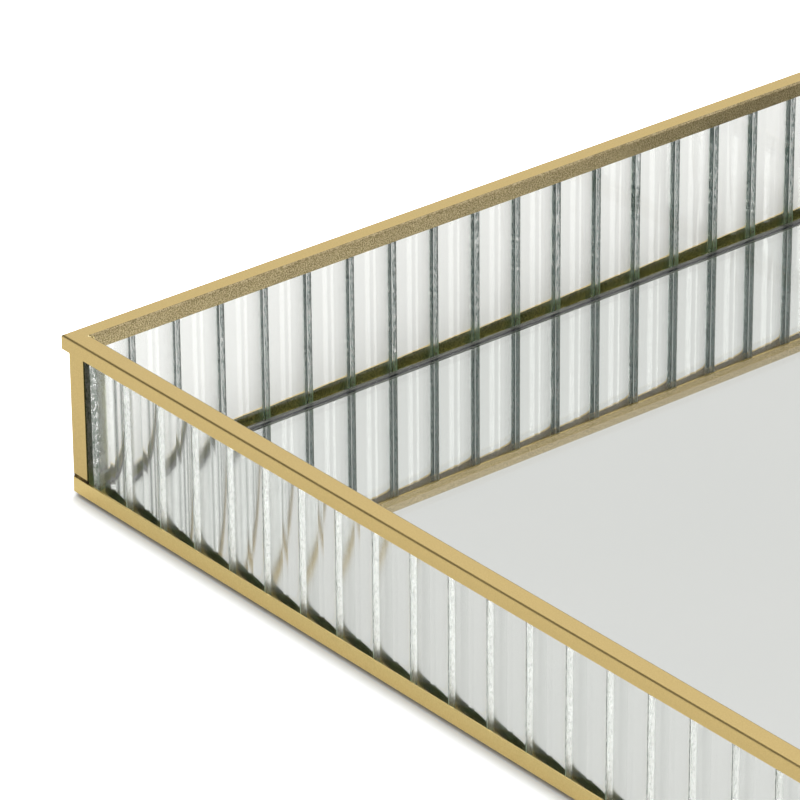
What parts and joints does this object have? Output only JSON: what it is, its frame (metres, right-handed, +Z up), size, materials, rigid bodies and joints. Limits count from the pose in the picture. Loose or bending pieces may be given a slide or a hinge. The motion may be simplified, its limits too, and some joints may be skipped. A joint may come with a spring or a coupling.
{
  "type": "dresser vanity tray",
  "caption": "Rectangular vanity tray with a folded metal frame, walls of fluted glass strips, a mirror floor and a felt base.",
  "frame": {"origin": "centre of the underside of the felt, on the surface the tray stands on", "axes": "+X along the long side, +Y along the short side, +Z up out of the open top"},
  "size_m": [0.4092, 0.296, 0.0487],
  "materials": {
    "gold_metal": "satin, fine grain",
    "solder": "smooth, slightly dull",
    "strip_glass": "polished faces, ground edges",
    "mirror_plate": "polished",
    "mirror_back": "dull paint",
    "board": "matte",
    "felt": "napped"
  },
  "bodies": {
    "root": {"backing_board": "board", "bottom_rail_back": "gold_metal", "bottom_rail_front": "gold_metal", "bottom_rail_left": "gold_metal", "bottom_rail_right": "gold_metal", "corner_post_back_left": "gold_metal", "corner_post_back_right": "gold_metal", "corner_post_front_left": "gold_metal", "corner_post_front_right": "gold_metal", "corner_solder_back_left": "solder", "corner_solder_back_right": "solder", "corner_solder_front_left": "solder", "corner_solder_front_right": "solder", "felt_base": "felt", "foot_solder_back_left": "solder", "foot_solder_back_right": "solder", "foot_solder_front_left": "solder", "foot_solder_front_right": "solder", "glass_strips_back_01": "strip_glass", "glass_strips_back_02": "strip_glass", "glass_strips_back_03": "strip_glass", "glass_strips_back_04": "strip_glass", "glass_strips_back_05": "strip_glass", "glass_strips_back_06": "strip_glass", "glass_strips_back_07": "strip_glass", "glass_strips_back_08": "strip_glass", "glass_strips_back_09": "strip_glass", "glass_strips_front_01": "strip_glass", "glass_strips_front_02": "strip_glass", "glass_strips_front_03": "strip_glass", "glass_strips_front_04": "strip_glass", "glass_strips_front_05": "strip_glass", "glass_strips_front_06": "strip_glass", "glass_strips_front_07": "strip_glass", "glass_strips_front_08": "strip_glass", "glass_strips_front_09": "strip_glass", "glass_strips_left_01": "strip_glass", "glass_strips_left_02": "strip_glass", "glass_strips_left_03": "strip_glass", "glass_strips_left_04": "strip_glass", "glass_strips_left_05": "strip_glass", "glass_strips_left_06": "strip_glass", "glass_strips_left_07": "strip_glass", "glass_strips_right_01": "strip_glass", "glass_strips_right_02": "strip_glass", "glass_strips_right_03": "strip_glass", "glass_strips_right_04": "strip_glass", "glass_strips_right_05": "strip_glass", "glass_strips_right_06": "strip_glass", "glass_strips_right_07": "strip_glass", "mirror_backing": "mirror_back", "mirror_glass": "mirror_plate", "top_rail_back": "gold_metal", "top_rail_front": "gold_metal", "top_rail_left": "gold_metal", "top_rail_right": "gold_metal"}
  },
  "joints": []
}
